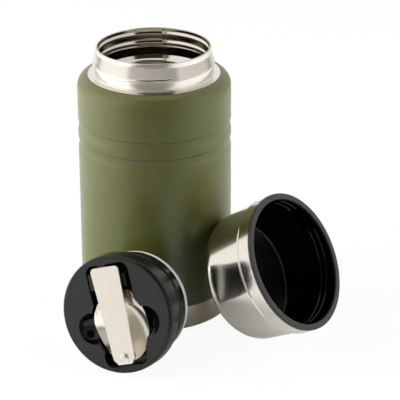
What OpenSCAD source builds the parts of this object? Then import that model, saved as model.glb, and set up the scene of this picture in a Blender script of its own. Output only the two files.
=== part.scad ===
// Insulated food jar: open double-walled steel jar standing, screw-in stopper
// with a folding spoon lying in front of it, and steel cup lid leaning on it.
// Millimetres, +Z up, origin at the centre of the jar's foot.

/* [Jar] */
// outside diameter of the jar body
jar_d = 100; // [96:0.5:104]
// height of the jar's rim above the table
rim_z = 181.8; // [170:0.1:195]
// height of the bare neck, ledge to rim
neck_h = 18.35; // [17.2:0.05:20]
// outside diameter of the neck at the rim
neck_d = 74.72; // [74:0.04:76]
// outside diameter of the bulge that guides the cup
neck_bulge_d = 79.6; // [78.4:0.1:80.6]
// outside diameter of the neck below the bulge
neck_low_d = 77.2; // [76.6:0.1:78]
// radius of the shoulder round
shoulder_r = 8; // [6.4:0.1:8.6]
// depth of the two rolled grooves
groove_depth = 0.65; // [0.3:0.05:0.9]
// height of one rolled groove
groove_h = 4.2; // [3:0.1:5]
// distance from the ledge down to the upper groove
groove_drop = 32.3; // [26:0.1:38]
// distance between the two grooves
groove_pitch = 11.5; // [8:0.1:14]
// thickness of the outer steel wall
wall = 0.6; // [0.5:0.05:0.7]

/* [Jar foot] */
// height of the bare steel band
band_h = 16.7; // [14:0.1:20]
// radius of the rounded edge at the foot
foot_r = 3.1; // [2.4:0.1:4]
// width of the flat ring that the jar stands on
foot_ring = 9; // [6:0.5:12]
// width of the groove pressed into the foot inside that ring
foot_groove_w = 7; // [5:0.5:9]
// depth of that groove
foot_groove = 1.3; // [0.8:0.1:1.6]
// height that the base cup reaches up inside the shell
cup_lap = 5; // [3:0.5:7]
// height of the vacuum bottom above the table
vacuum_z = 6.8; // [6:0.1:7.4]
// height of the upright edge of the vacuum bottom
vacuum_edge = 4; // [3:0.5:6]
// diameter of the hole that the vacuum is drawn through
port_d = 2.4; // [1.6:0.1:3]
// diameter of the glass bead that seals the hole
bead_d = 6; // [4.5:0.1:8]
// diameter of the getter pellet
getter_d = 10; // [8:0.5:12]
// height of the getter pellet
getter_h = 2; // [1.5:0.1:3]
// distance of the getter from the jar's axis
getter_out = 20; // [16:0.5:26]

/* [Vessel] */
// thickness of the rolled rim
lip_t = 1.16; // [1.1:0.02:1.4]
// height of one thread ridge in the mouth
ridge_h = 1; // [0.6:0.1:1.3]
// depth of the first ridge below the rim
ridge_drop = 4.2; // [3.6:0.1:5]
// distance between the ridges
ridge_pitch = 6.1; // [5.6:0.1:6.6]
// depth of the gasket seat below the rim
seat_drop = 22.4; // [21.5:0.1:24]
// inside diameter of the gasket seat
seat_d = 65.4; // [63:0.1:66.4]
// thickness of the vessel's wall
vessel_t = 0.5; // [0.4:0.05:0.6]
// vacuum gap between vessel and shell
vacuum_gap = 4.4; // [3.4:0.1:5.4]
// height over which the vessel widens below the seat
vessel_shoulder = 12; // [10:0.5:15]
// height of the vessel's floor above the table
vessel_floor = 16; // [15:0.5:19]
// radius of the rounded edge of the vessel's floor
floor_round = 9; // [6:0.5:11]
// thickness of the foil wrap
foil_t = 0.15; // [0.1:0.05:0.25]

/* [Stopper] */
// diameter of the stopper's head
head_d = 76.3; // [75.8:0.1:78]
// height of the head
head_h = 10.4; // [9.8:0.1:12]
// radius of the head's front edge
head_edge = 2.4; // [1.4:0.1:3]
// diameter of the threaded body
body_d = 68.6; // [67.8:0.1:69.2]
// height of one thread bead on the body
bead_h = 0.8; // [0.4:0.1:1]
// distance from the face to the first bead
bead_drop = 16; // [15:0.1:17]
// distance from the face to the gasket
gasket_drop = 29.4; // [28.6:0.1:31]
// height of the gasket
gasket_h = 4.9; // [4:0.1:5.6]
// diameter of the gasket
gasket_d = 67.5; // [67:0.1:68.2]
// radius of the gasket's edges
gasket_round = 1; // [0.5:0.1:1.4]
// depth of the groove that the gasket sits in
gasket_groove = 3; // [2.2:0.1:3.6]
// wall thickness of the stopper's mouldings
skin = 1.8; // [1.5:0.1:2]
// distance of the stopper's face from the jar's axis
stopper_out = 105.1; // [103:0.1:120]
// direction from the jar to the stopper, from the front towards the left
stopper_dir = 12.7; // [4:0.1:20]
// direction that the stopper faces, from the front towards the left
stopper_turn = 24.1; // [10:0.1:35]
// turn of the spoon recess about the stopper's axis
stopper_roll = 18.3; // [-30:0.1:30]

/* [Spoon recess] */
// width of the slot
slot_w = 29.8; // [28.6:0.1:31]
// height of the slot above the stopper's axis
slot_up = 32.6; // [32:0.1:33]
// height of the slot below the stopper's axis
slot_down = 33.4; // [33:0.1:33.8]
// corner radius of the slot
slot_r = 5.5; // [4:0.1:6]
// depth of the slot
slot_depth = 8; // [6.4:0.1:8.4]
// clearance round the bowl at its sides
bowl_clear = 1; // [0.6:0.1:1.3]
// clearance under the bowl
bowl_gap = 0.3; // [0.2:0.05:0.4]
// diameter of a thumb scoop at the face
scoop_d = 20.4; // [17:0.1:21.2]
// depth of a thumb scoop
scoop_depth = 7.5; // [5:0.1:8]
// distance of a thumb scoop from the stopper's axis
scoop_out = 18.4; // [16.5:0.1:18.6]
// distance of the thumb scoops below the stopper's axis
scoop_down = 6.8; // [4:0.1:9]
// length of the left clip tab
tab_l = 10.3; // [7:0.1:11]
// width of the left clip tab
tab_w = 4.5; // [3:0.1:5]
// depth of the left clip tab's top below the face
tab_drop = 0.9; // [0.4:0.1:1.6]
// thickness of the right clip tab
finger_t = 2.8; // [2:0.1:3.2]
// distance of the right clip tab from the slot's wall
finger_gap = 3.1; // [2.4:0.1:3.6]
// width of the finger notch in the rim below the slot
notch_w = 15.4; // [12:0.1:17]
// depth of the finger notch
notch_depth = 1.3; // [0.8:0.1:2]
// how far the finger notch widens to each side towards the rim
notch_flare = 2.8; // [1:0.1:4]

/* [Spoon] */
// width of the bowl
bowl_w = 36.8; // [35:0.1:37.8]
// distance from the stopper's axis down to the bowl's widest place
bowl_down = 5; // [4:0.1:6]
// length of the bowl from its widest place to its tip
bowl_tip = 26.2; // [24:0.1:26.6]
// radius of the bowl's round hollow
dish_r = 36; // [34:0.5:40]
// depth of the bowl's hollow
dish_depth = 6; // [5:0.1:6.2]
// distance from the stopper's axis down to the deepest place of the hollow
dish_down = 12; // [10.5:0.1:13]
// thickness of the spoon's sheet
sheet = 1; // [0.8:0.05:1.1]
// width of the bowl's neck
spoon_neck_w = 25; // [22:0.1:26]
// height of the neck's end above the stopper's axis
spoon_neck_up = 15; // [14:0.1:15.6]
// corner radius of the neck's end
spoon_neck_r = 4.5; // [3:0.1:5.5]
// width of the link
link_w = 14.6; // [14:0.1:15]
// distance between the two rivets
link_l = 37.9; // [37.5:0.1:38.6]
// length of the link beyond the lower rivet
link_end = 4.6; // [4.4:0.1:5.2]
// corner radius of the link's lower end
link_r = 6.5; // [5:0.1:6.8]
// distance from the stopper's axis down to the lower rivet
rivet_down = 27.3; // [26.6:0.1:28]
// width of the handle's wide end
handle_w = 19.8; // [18:0.1:22]
// width of the handle at its lower rivet
handle_waist = 15; // [14:0.1:15.8]
// length of the handle from its rivet to its free end
handle_l = 58.6; // [56:0.1:58.8]
// length of the handle beyond its rivet
handle_end = 4.2; // [3.8:0.1:5]
// corner radius of the handle's wide end
handle_r = 2.8; // [1.5:0.1:4]
// thickness of the handle
handle_t = 1.2; // [0.9:0.05:1.3]
// clearance between the stopper's face and the link
link_lift = 0.2; // [0.15:0.05:0.4]
// thickness of the washer between link and handle
washer_t = 0.5; // [0.3:0.05:0.6]
// diameter of the washer
washer_d = 7; // [6:0.1:8]
// diameter of the rivet shanks
rivet_d = 3.6; // [3:0.1:4]
// diameter of the domed rivet head
dome_d = 6.2; // [5.6:0.1:7]
// height of the domed rivet head
dome_h = 1.3; // [1:0.1:1.6]
// thickness of the neck rivet's flat head
rivet_head_t = 0.5; // [0.4:0.05:0.8]
// running clearance round a rivet shank and on each face
pivot_clear = 0.05; // [0.03:0.01:0.08]

/* [Cup lid] */
// diameter of the cup's rim flange
cup_d = 91.2; // [90.4:0.1:93]
// height of the cup lid
cup_h = 49; // [47:0.1:53]
// how far the flange stands out over the steel band
cup_edge = 0.2; // [0.1:0.05:0.6]
// how far the band stands out over the body below it
cup_step = 1.4; // [0.8:0.1:2]
// how far the body draws in towards its closed end
cup_taper = 1.7; // [0.4:0.1:3]
// radius of the cup's rounded end
cup_round = 14; // [11:0.1:15]
// height of the band
cup_band = 8.4; // [7:0.1:10]
// depth of the groove below the band
cup_groove = 0.6; // [0.3:0.05:0.7]
// thickness of the cup's steel
cup_wall = 0.5; // [0.4:0.05:0.6]
// thickness of the rim flange
flange_t = 2.1; // [1.6:0.1:2.6]
// broken edge of the rim flange
flange_edge = 0.25; // [0.1:0.05:0.8]
// clearance between the steel and the liner
liner_clear = 0.1; // [0.05:0.05:0.3]
// how far the liner's hollow narrows towards its floor
liner_taper = 4.2; // [3.4:0.1:6]
// thickness of the foam in the cup's end
cup_foam_t = 8.9; // [6:0.1:11]
// wall thickness of the liner
liner_t = 1.5; // [1.2:0.1:1.6]
// height of one thread bead in the liner
cup_bead = 0.8; // [0.4:0.1:0.9]
// depth of the first thread bead in the liner
cup_bead_drop = 4.7; // [4:0.1:5.6]
// distance between the thread beads in the liner
cup_bead_pitch = 4.9; // [4.4:0.1:5.4]
// upward tilt of the cup's mouth
cup_tilt = 29.2; // [22:0.1:38]
// direction from the jar to the place where the cup leans
cup_dir = -34.6; // [-42:0.1:-28]
// turn of the cup away from that direction
cup_skew = 3.3; // [-4:0.1:4]
// gap between the cup and the jar it leans on
lean_gap = 0.4; // [0.3:0.05:0.8]

/* [Hidden] */
$fn = 64;
arc_fn = 32;
jar_r = jar_d / 2;
ledge_z = rim_z - neck_h;
ledge_r = jar_r - shoulder_r;
shoulder_z = ledge_z - shoulder_r;
neck_r = neck_d / 2;
neck_low_r = neck_low_d / 2;
bulge_r = neck_bulge_d / 2;
mouth_r = neck_r - lip_t;
seat_z = rim_z - seat_drop;
seat_r = seat_d / 2;
lip_h = 1.2;
neck_foot = 2.4;
bulge_low_z = rim_z - 11.8;
bulge_top_z = rim_z - 8.3;
neck_top_z = rim_z - 3.5;
vessel_out_r = jar_r - wall - vacuum_gap;
vessel_r = vessel_out_r - vessel_t;
wide_z = seat_z - vessel_shoulder;
weld_z = vessel_floor + floor_round;
base_in_r = jar_r - 2 * wall;
foot_out = jar_r - foot_r - foot_ring;
foot_in = foot_out - foot_groove_w;
clip_t = 0.4;
clip_lug = 2.5;

head_r = head_d / 2;
body_r = body_d / 2;
gasket_r = gasket_d / 2;
groove_r = body_r - gasket_groove;
cavity_r = groove_r - skin;
gasket_end = gasket_drop + gasket_h;
end_lip = 1.4;
end_in = 1;
body_end = gasket_end + end_lip;
// the stopper lies on its head's back edge and on the gasket's rounded edge
lean_a = head_r - gasket_r + gasket_round;
lean_b = gasket_end - gasket_round - head_h;
stopper_lean = acos(gasket_round / norm([lean_a, lean_b])) - atan2(lean_b, lean_a);
stopper_z = head_r * cos(stopper_lean) + head_h * sin(stopper_lean);
stopper_x = -stopper_out * sin(stopper_dir);
stopper_y = -stopper_out * cos(stopper_dir);

// heights above (+) and below (-) the stopper's face
slot_floor = -slot_depth;
rim_drop = 3.4;
dish_in_w = -rim_drop - dish_depth;
dish_c = dish_in_w + dish_r;
dish_out_r = dish_r + sheet;
rim_plane = -rim_drop;
well_w = dish_in_w - sheet - bowl_gap;
pan_w = well_w - skin;
pan_r = 18;
scoop_r = (scoop_d * scoop_d / 4 + scoop_depth * scoop_depth) / (2 * scoop_depth);
scoop_c = scoop_r - scoop_depth;
tab_y = spoon_neck_up + 2;
finger_l = tab_l - 2;
notch_out = 1.9 - head_r;
dish_rim_r = sqrt(dish_r * dish_r - pow(dish_r - dish_depth, 2));
bowl_a = bowl_w / 2;
side_r = bowl_tip * bowl_tip / bowl_a;
side_e = side_r - bowl_a;
tip_r = (side_r * side_r - side_e * side_e - bowl_tip * bowl_tip) / (2 * (side_r - bowl_tip));
tip_cut = (bowl_tip - tip_r) * side_r / (side_r - tip_r);
link_bot = link_lift;
link_top = link_bot + sheet;
handle_bot = link_top + washer_t;
handle_top = handle_bot + handle_t;
handle_cut_w = 2.8;
handle_cut_h = 3.5;
rivet_r = rivet_d / 2;
bore_r = rivet_r + pivot_clear;
rivet_up = link_l - rivet_down;
dome_a = dome_d / 2;
dome_r = (dome_a * dome_a + dome_h * dome_h) / (2 * dome_h);
sink_d = 0.6;
sink_r = rivet_r + 1.3;
spacer_r = rivet_r + 0.7;

cup_r = cup_d / 2;
cup_band_r = cup_r - cup_edge;
cup_body_r = cup_band_r - cup_step;
cup_end_r = cup_body_r - cup_taper;
liner_depth = cup_h - cup_wall - cup_foam_t - liner_t;
cup_ring_s = cup_h - cup_round;
cup_ring_r = cup_end_r - cup_round;
liner_r = cup_body_r - cup_groove - cup_wall - liner_clear - liner_t;
liner_floor_r = liner_r - liner_taper;
// the liner's wall is straight as far as its thread reaches, then it draws in
liner_straight = 11;
liner_neck = 15;
mouth_edge = 0.7;
cup_facing = cup_dir + cup_skew;
// the cup stands on its rounded end's lowest place and leans on its highest
lean_d = jar_r + cup_round + lean_gap;
cup_back = cup_ring_s * cos(cup_tilt) + cup_ring_r * sin(cup_tilt);
cup_x = lean_d * cos(cup_dir) + cup_back * cos(cup_facing);
cup_y = lean_d * sin(cup_dir) + cup_back * sin(cup_facing);
cup_z = cup_ring_s * sin(cup_tilt) + cup_ring_r * cos(cup_tilt) + cup_round;

module at_stopper() {
    translate([stopper_x, stopper_y, stopper_z])
        rotate([90 - stopper_lean, 0, -stopper_turn])
            rotate([0, 0, stopper_roll])
                children();
}

module at_cup() {
    translate([cup_x, cup_y, cup_z])
        rotate([90 - cup_tilt, 0, cup_facing + 90])
            children();
}

// ---- jar ----

// one rolled groove: sharp step above, long slope below
module groove_cut(r, z) {
    polygon([[r + 1, z + 0.3], [r, z + 0.25], [r - groove_depth, z - 0.25],
        [r - groove_depth * 0.6, z - groove_h * 0.45], [r, z - groove_h], [r + 1, z - groove_h]]);
}

// half section of the jar's outside, set in by d
module jar_half(d) {
    difference() {
        union() {
            translate([0, band_h]) square([jar_r - d, shoulder_z - band_h]);
            translate([0, band_h]) square([ledge_r, ledge_z - d - band_h]);
            translate([ledge_r, shoulder_z]) circle(shoulder_r - d, $fn = arc_fn);
        }
        groove_cut(jar_r - d, ledge_z - groove_drop);
        groove_cut(jar_r - d, ledge_z - groove_drop - groove_pitch);
    }
    polygon([[0, ledge_z - 2], [neck_low_r + neck_foot - d, ledge_z - d], [neck_low_r + 0.9 - d, ledge_z + 0.6],
        [neck_low_r + 0.2 - d, ledge_z + 2], [neck_low_r - d, bulge_low_z - 0.7], [bulge_r - d, bulge_low_z],
        [bulge_r - d, bulge_top_z], [neck_r + 0.04 - d, neck_top_z], [neck_r - d, rim_z - lip_h], [0, rim_z - lip_h]]);
}

module outer_shell() {
    color("darkolivegreen") rotate_extrude() difference() {
        jar_half(0);
        jar_half(wall);
        translate([-1, band_h - 1]) square([base_in_r + 1, 2]);
        translate([-1, rim_z - lip_h - 1]) square([neck_r - wall + 1, 2]);
    }
}

module base_cup() {
    color("silver") rotate_extrude() difference() {
        union() {
            translate([0, foot_r]) square([jar_r, band_h - foot_r]);
            square([jar_r - foot_r, foot_r]);
            translate([jar_r - foot_r, foot_r]) circle(foot_r, $fn = arc_fn);
            square([jar_r - wall, band_h + cup_lap]);
        }
        polygon([[foot_in, -1], [foot_out, -1], [foot_out, 0], [foot_out - 1.3, foot_groove], [foot_in + 1.3, foot_groove], [foot_in, 0]]);
        polygon([[-1, wall], [foot_in - 0.3, wall], [foot_in + 1, foot_groove + wall], [foot_out - 1, foot_groove + wall],
            [foot_out + 0.3, wall], [jar_r - foot_r - 1, wall], [base_in_r, foot_r + 0.6],
            [base_in_r, band_h + cup_lap + 1], [-1, band_h + cup_lap + 1]]);
    }
}

module vacuum_bottom() {
    color("silver") rotate_extrude()
        polygon([[port_d / 2, vacuum_z], [base_in_r - 3, vacuum_z], [base_in_r, vacuum_z + 2],
            [base_in_r, vacuum_z + vacuum_edge], [base_in_r - wall, vacuum_z + vacuum_edge],
            [base_in_r - wall, vacuum_z + 2.3], [base_in_r - 3.2, vacuum_z + wall], [port_d / 2, vacuum_z + wall]]);
}

module vacuum_bead() {
    color("lightblue") rotate_extrude()
        polygon([[0, vacuum_z - 1.4], [bead_d * 0.3, vacuum_z - 1.2], [bead_d / 2, vacuum_z - 0.4], [bead_d / 2, vacuum_z],
            [port_d / 2, vacuum_z], [port_d / 2, vacuum_z + wall], [0, vacuum_z + wall]]);
}

module inner_vessel() {
    color("silver") rotate_extrude() {
        // rolled rim over both walls
        translate([mouth_r, rim_z - lip_h]) square([lip_t, lip_h - lip_t / 2]);
        translate([mouth_r + lip_t / 2, rim_z - lip_t / 2]) circle(lip_t / 2, $fn = arc_fn);
        polygon([[mouth_r, rim_z - lip_h], [mouth_r, seat_z + 4], [seat_r + 0.8, seat_z + 2.2], [seat_r, seat_z],
            [seat_r + 0.8, seat_z - 2], [seat_r + 3, seat_z - 3.6], [vessel_r - 3.4, seat_z - vessel_shoulder * 0.55],
            [vessel_r - 0.7, wide_z + 2.5], [vessel_r, wide_z - 1], [vessel_r, weld_z], [vessel_out_r, weld_z],
            [vessel_out_r, wide_z - 1], [vessel_out_r - 0.6, wide_z + 2.8], [vessel_out_r - 3.3, seat_z - vessel_shoulder * 0.55 + 0.7],
            [seat_r + 3 + vessel_t, seat_z - 3.1], [seat_r + 0.8 + vessel_t, seat_z - 1.7], [seat_r + vessel_t + 0.1, seat_z],
            [seat_r + 0.8 + vessel_t, seat_z + 1.9], [neck_r - wall, seat_z + 3.6], [neck_r - wall, rim_z - lip_h]]);
        for (z = [rim_z - ridge_drop, rim_z - ridge_drop - ridge_pitch])
            polygon([[mouth_r + 0.1, z + 1.8], [mouth_r, z + 1.8], [mouth_r - ridge_h, z + 0.7], [mouth_r - ridge_h, z - 0.7],
                [mouth_r, z - 1.8], [mouth_r + 0.1, z - 1.8]]);
    }
}

module inner_bottom() {
    color("silver") rotate_extrude() difference() {
        union() {
            translate([0, vessel_floor - vessel_t]) square([vessel_out_r - floor_round, weld_z - vessel_floor + vessel_t]);
            translate([vessel_out_r - floor_round, vessel_floor - vessel_t + floor_round]) circle(floor_round, $fn = arc_fn);
            translate([vessel_out_r - floor_round, weld_z - vessel_t]) square([floor_round, vessel_t]);
        }
        translate([-1, vessel_floor]) square([vessel_out_r - floor_round + 1, floor_round + 1]);
        translate([vessel_out_r - floor_round, weld_z - vessel_t]) circle(floor_round - vessel_t, $fn = arc_fn);
        translate([-1, weld_z - vessel_t]) square([vessel_r + 1, 2]);
        translate([-1, weld_z]) square([jar_r, floor_round]);
    }
}

module foil_wrap() {
    color("peru") translate([0, 0, weld_z + 3]) difference() {
        cylinder(h = wide_z - weld_z - 8, r = vessel_out_r + foil_t);
        translate([0, 0, -1]) cylinder(h = wide_z - weld_z, r = vessel_out_r);
    }
}

module getter() {
    color("dimgray") translate([getter_out, 0, vacuum_z + wall + clip_t]) cylinder(h = getter_h, d = getter_d);
}

module getter_clip() {
    clip_z = vacuum_z + wall;
    color("silver") difference() {
        translate([getter_out - 3, -getter_d / 2 - clip_t - clip_lug, clip_z])
            cube([6, getter_d + 2 * clip_t + 2 * clip_lug, clip_t + getter_h]);
        translate([getter_out, 0, clip_z + clip_t]) cylinder(h = getter_h + 1, d = getter_d);
        for (s = [-1, 1])
            translate([getter_out - 4, s * (getter_d / 2 + clip_t + clip_lug) - clip_lug, clip_z + clip_t])
                cube([8, 2 * clip_lug, getter_h + 1]);
    }
}

// ---- stopper ----

// outline of the bowl seen along the stopper's axis, grown by g
module bowl_outline(g) {
    translate([0, -bowl_down]) {
        intersection() {
            translate([-side_e, 0]) circle(side_r + g);
            translate([side_e, 0]) circle(side_r + g);
            translate([-bowl_w, -tip_cut]) square([2 * bowl_w, tip_cut]);
        }
        translate([0, tip_r - bowl_tip]) circle(tip_r + g);
        circle(bowl_a + g);
    }
}

module slot_outline() {
    w = slot_w / 2 - slot_r;
    low = slot_down - slot_r;
    up = slot_up - slot_r;
    translate([-slot_w / 2, -low]) square([slot_w, low + up]);
    translate([-w, -slot_down]) square([2 * w, slot_down + slot_up]);
    for (x = [-w, w], y = [-low, up]) translate([x, y]) circle(slot_r);
}

module stopper_head() {
    color("dimgray") at_stopper() {
        difference() {
            rotate_extrude() {
                translate([0, -head_h]) square([head_r, head_h - head_edge]);
                translate([0, -head_h]) square([head_r - head_edge, head_h]);
                translate([head_r - head_edge, -head_edge]) circle(head_edge, $fn = arc_fn);
                translate([0, pan_w]) square([pan_r, -head_h - pan_w]);
            }
            translate([0, 0, slot_floor]) linear_extrude(slot_depth + 1) {
                slot_outline();
                bowl_outline(bowl_clear);
            }
            // round floor under the bowl
            translate([0, -dish_down, 0]) rotate_extrude() intersection() {
                translate([0, dish_c]) circle(dish_out_r + bowl_gap, $fn = 128);
                translate([0, well_w - 1]) square([dish_r, slot_floor - well_w + 1.01]);
            }
            for (s = [-1, 1])
                translate([s * scoop_out, -scoop_down, 0]) rotate_extrude() intersection() {
                    translate([0, scoop_c]) circle(scoop_r);
                    translate([0, -scoop_depth - 1]) square([scoop_r, scoop_depth + 2]);
                }
            // finger notch through the rim, below the handle's riveted end
            translate([0, 0, -notch_depth]) linear_extrude(notch_depth + 1)
                polygon([[-notch_w / 2, 1 - slot_down], [-notch_w / 2, -slot_down], [-notch_w / 2 - notch_flare, notch_out],
                    [-notch_w / 2 - notch_flare, -head_r - 1], [notch_w / 2 + notch_flare, -head_r - 1],
                    [notch_w / 2 + notch_flare, notch_out], [notch_w / 2, -slot_down], [notch_w / 2, 1 - slot_down]]);
        }
        translate([-slot_w / 2 - 0.1, tab_y, slot_floor - 0.1]) cube([tab_w + 0.1, tab_l, slot_depth - tab_drop + 0.1]);
        translate([slot_w / 2 - finger_gap - finger_t, tab_y, slot_floor - 0.1]) cube([finger_t, finger_l, slot_depth + 0.1]);
    }
}

module stopper_body() {
    color("black") at_stopper() rotate_extrude() {
        polygon([[cavity_r, -head_h], [body_r, -head_h], [body_r, -gasket_drop], [groove_r, -gasket_drop],
            [groove_r, -gasket_end], [gasket_r - end_in, -gasket_end], [gasket_r - end_in, 0.4 - body_end],
            [gasket_r - end_in - 0.6, -body_end], [0, -body_end], [0, skin - body_end], [cavity_r, skin - body_end]]);
        for (w = [-bead_drop, -bead_drop - ridge_pitch])
            polygon([[body_r - 0.1, w + 1.3], [body_r, w + 1.3], [body_r + bead_h, w + 0.5], [body_r + bead_h, w - 0.5],
                [body_r, w - 1.3], [body_r - 0.1, w - 1.3]]);
    }
}

module stopper_foam() {
    color("ivory") at_stopper() translate([0, 0, skin - body_end])
        cylinder(h = body_end - skin + pan_w, r = cavity_r - 0.2);
}

module stopper_gasket() {
    color("whitesmoke") at_stopper() rotate_extrude() {
        translate([groove_r, -gasket_end]) square([gasket_r - gasket_round - groove_r, gasket_h]);
        translate([groove_r, gasket_round - gasket_end]) square([gasket_r - groove_r, gasket_h - 2 * gasket_round]);
        for (w = [gasket_round - gasket_end, -gasket_drop - gasket_round])
            translate([gasket_r - gasket_round, w]) circle(gasket_round, $fn = arc_fn);
    }
}

// ---- spoon ----

module spoon_outline() {
    bowl_outline(0);
    translate([-spoon_neck_w / 2, -bowl_down]) square([spoon_neck_w, spoon_neck_up - spoon_neck_r + bowl_down]);
    translate([spoon_neck_r - spoon_neck_w / 2, 0]) square([spoon_neck_w - 2 * spoon_neck_r, spoon_neck_up]);
    for (s = [-1, 1])
        translate([s * (spoon_neck_w / 2 - spoon_neck_r), spoon_neck_up - spoon_neck_r]) circle(spoon_neck_r);
}

module spoon_bowl() {
    color("silver") at_stopper() difference() {
        union() {
            intersection() {
                translate([0, -dish_down, 0]) rotate_extrude() difference() {
                    intersection() {
                        translate([0, dish_c]) circle(dish_out_r, $fn = 128);
                        translate([0, well_w]) square([dish_r, rim_plane - well_w]);
                    }
                    translate([0, dish_c]) circle(dish_r, $fn = 128);
                }
                translate([0, 0, well_w]) linear_extrude(-well_w) spoon_outline();
            }
            difference() {
                translate([0, 0, rim_plane - sheet]) linear_extrude(sheet) spoon_outline();
                translate([0, -dish_down, rim_plane - sheet - 1]) cylinder(h = sheet + 2, r = dish_rim_r);
            }
        }
        translate([0, rivet_up, well_w]) cylinder(h = -well_w, r = rivet_r);
    }
}

module spoon_neck_rivet() {
    low = rim_plane - sheet;
    color("silver") at_stopper() translate([0, rivet_up, 0]) rotate_extrude()
        polygon([[0, low - rivet_head_t], [spacer_r, low - rivet_head_t], [spacer_r, low], [rivet_r, low],
            [rivet_r, link_top - sink_d], [sink_r, link_top], [0, link_top]]);
}

module spoon_spacer() {
    color("silver") at_stopper() translate([0, rivet_up, rim_plane]) difference() {
        cylinder(h = link_bot - pivot_clear - rim_plane, r = spacer_r);
        translate([0, 0, -1]) cylinder(h = link_bot - rim_plane + 2, r = rivet_r);
    }
}

module spoon_link() {
    w = link_w / 2;
    low = rivet_down + link_end - link_r;
    color("silver") at_stopper() difference() {
        translate([0, 0, link_bot]) linear_extrude(sheet) {
            translate([-w, -low]) square([link_w, low + rivet_up]);
            translate([link_r - w, -low - link_r]) square([link_w - 2 * link_r, low]);
            for (s = [-1, 1]) translate([s * (w - link_r), -low]) circle(link_r);
            translate([0, rivet_up]) circle(w);
        }
        translate([0, rivet_up, 0]) rotate_extrude()
            polygon([[0, link_bot - 1], [bore_r, link_bot - 1], [bore_r, link_top - sink_d - pivot_clear],
                [sink_r + 2 * pivot_clear, link_top + 0.01], [0, link_top + 0.01]]);
        translate([0, -rivet_down, 0]) rotate_extrude()
            polygon([[0, link_bot - 1], [sink_r, link_bot - 1], [sink_r, link_bot], [rivet_r, link_bot + sink_d],
                [rivet_r, link_top + 1], [0, link_top + 1]]);
    }
}

// sunk flush into the link's back, so the link swings over the stopper's face
module spoon_link_rivet() {
    dome_z = handle_top + pivot_clear;
    color("silver") at_stopper() translate([0, -rivet_down, 0]) rotate_extrude() {
        polygon([[0, link_bot], [sink_r, link_bot], [rivet_r, link_bot + sink_d], [rivet_r, dome_z + 0.1], [0, dome_z + 0.1]]);
        intersection() {
            translate([0, dome_z + dome_h - dome_r]) circle(dome_r);
            translate([0, dome_z]) square([dome_d, dome_h + 1]);
        }
    }
}

module spoon_washer() {
    color("silver") at_stopper() translate([0, -rivet_down, link_top]) difference() {
        cylinder(h = washer_t - pivot_clear, d = washer_d);
        translate([0, 0, -1]) cylinder(h = washer_t + 2, r = rivet_r);
    }
}

module spoon_handle() {
    up = handle_l - rivet_down;
    low = -rivet_down - handle_end;
    w = handle_w / 2;
    waist = handle_waist / 2;
    color("silver") at_stopper() difference() {
        translate([0, 0, handle_bot]) linear_extrude(handle_t) {
            polygon([[-w + handle_r, up], [-w, up - handle_r], [-waist, low + handle_cut_h], [-waist + handle_cut_w, low],
                [waist - handle_cut_w, low], [waist, low + handle_cut_h], [w, up - handle_r], [w - handle_r, up]]);
            for (s = [-1, 1]) translate([s * (w - handle_r), up - handle_r]) circle(handle_r);
        }
        translate([0, -rivet_down, 0]) cylinder(h = 2 * handle_top, r = bore_r);
    }
}

// ---- cup lid ----

// half section of the cup's steel outside, set in by d; the mouth is up
module cup_half(d) {
    low = flange_t + cup_band;
    polygon([[0, -cup_ring_s], [cup_end_r - d, -cup_ring_s], [cup_body_r - d, -low - 1.6], [cup_body_r - cup_groove - d, -low - 0.6],
        [cup_body_r - cup_groove - d, d - low], [cup_band_r - d - 0.2, 0.2 - low + d], [cup_band_r - d, -flange_t], [0, -flange_t]]);
    translate([0, d - cup_h]) square([cup_ring_r, cup_h - d - flange_t]);
    translate([cup_ring_r, -cup_ring_s]) circle(cup_round - d);
}

module cup_shell() {
    color("silver") at_cup() rotate_extrude() intersection() {
        difference() {
            cup_half(0);
            cup_half(cup_wall);
            translate([-1, -flange_t - 1]) square([cup_band_r - cup_wall + 1, 2]);
        }
        translate([0, -cup_h]) square([cup_r, cup_h - flange_t]);
    }
}

module cup_liner() {
    color("dimgray") at_cup() rotate_extrude() {
        polygon([[liner_r, -mouth_edge], [liner_r, -liner_straight], [liner_r - 0.6, -liner_neck], [liner_floor_r, 3 - liner_depth],
            [liner_floor_r - 0.9, 0.9 - liner_depth], [liner_floor_r - 3, -liner_depth], [0, -liner_depth],
            [0, -liner_depth - liner_t], [liner_floor_r - 1.4 + liner_t * 0.6, -liner_depth - liner_t],
            [liner_floor_r + liner_t, 3 - liner_depth], [liner_r - 0.6 + liner_t, -liner_neck], [liner_r + liner_t, -liner_straight],
            [liner_r + liner_t, -flange_t], [cup_r, -flange_t], [cup_r, -flange_edge], [cup_r - flange_edge, 0], [liner_r + mouth_edge, 0]]);
        for (w = [-cup_bead_drop, -cup_bead_drop - cup_bead_pitch])
            polygon([[liner_r + 0.1, w + 1.1], [liner_r, w + 1.1], [liner_r - cup_bead, w + 0.4], [liner_r - cup_bead, w - 0.4],
                [liner_r, w - 1.1], [liner_r + 0.1, w - 1.1]]);
    }
}

module cup_foam() {
    color("ivory") at_cup() translate([0, 0, cup_wall - cup_h])
        cylinder(h = cup_foam_t, r = cup_ring_r);
}

outer_shell();
base_cup();
vacuum_bottom();
vacuum_bead();
inner_vessel();
inner_bottom();
foil_wrap();
getter();
getter_clip();
stopper_head();
stopper_body();
stopper_foam();
stopper_gasket();
spoon_bowl();
spoon_neck_rivet();
spoon_spacer();
spoon_link();
spoon_link_rivet();
spoon_washer();
spoon_handle();
cup_shell();
cup_liner();
cup_foam();
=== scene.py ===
import math
import bpy
import bmesh
from mathutils import Matrix, Vector


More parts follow.
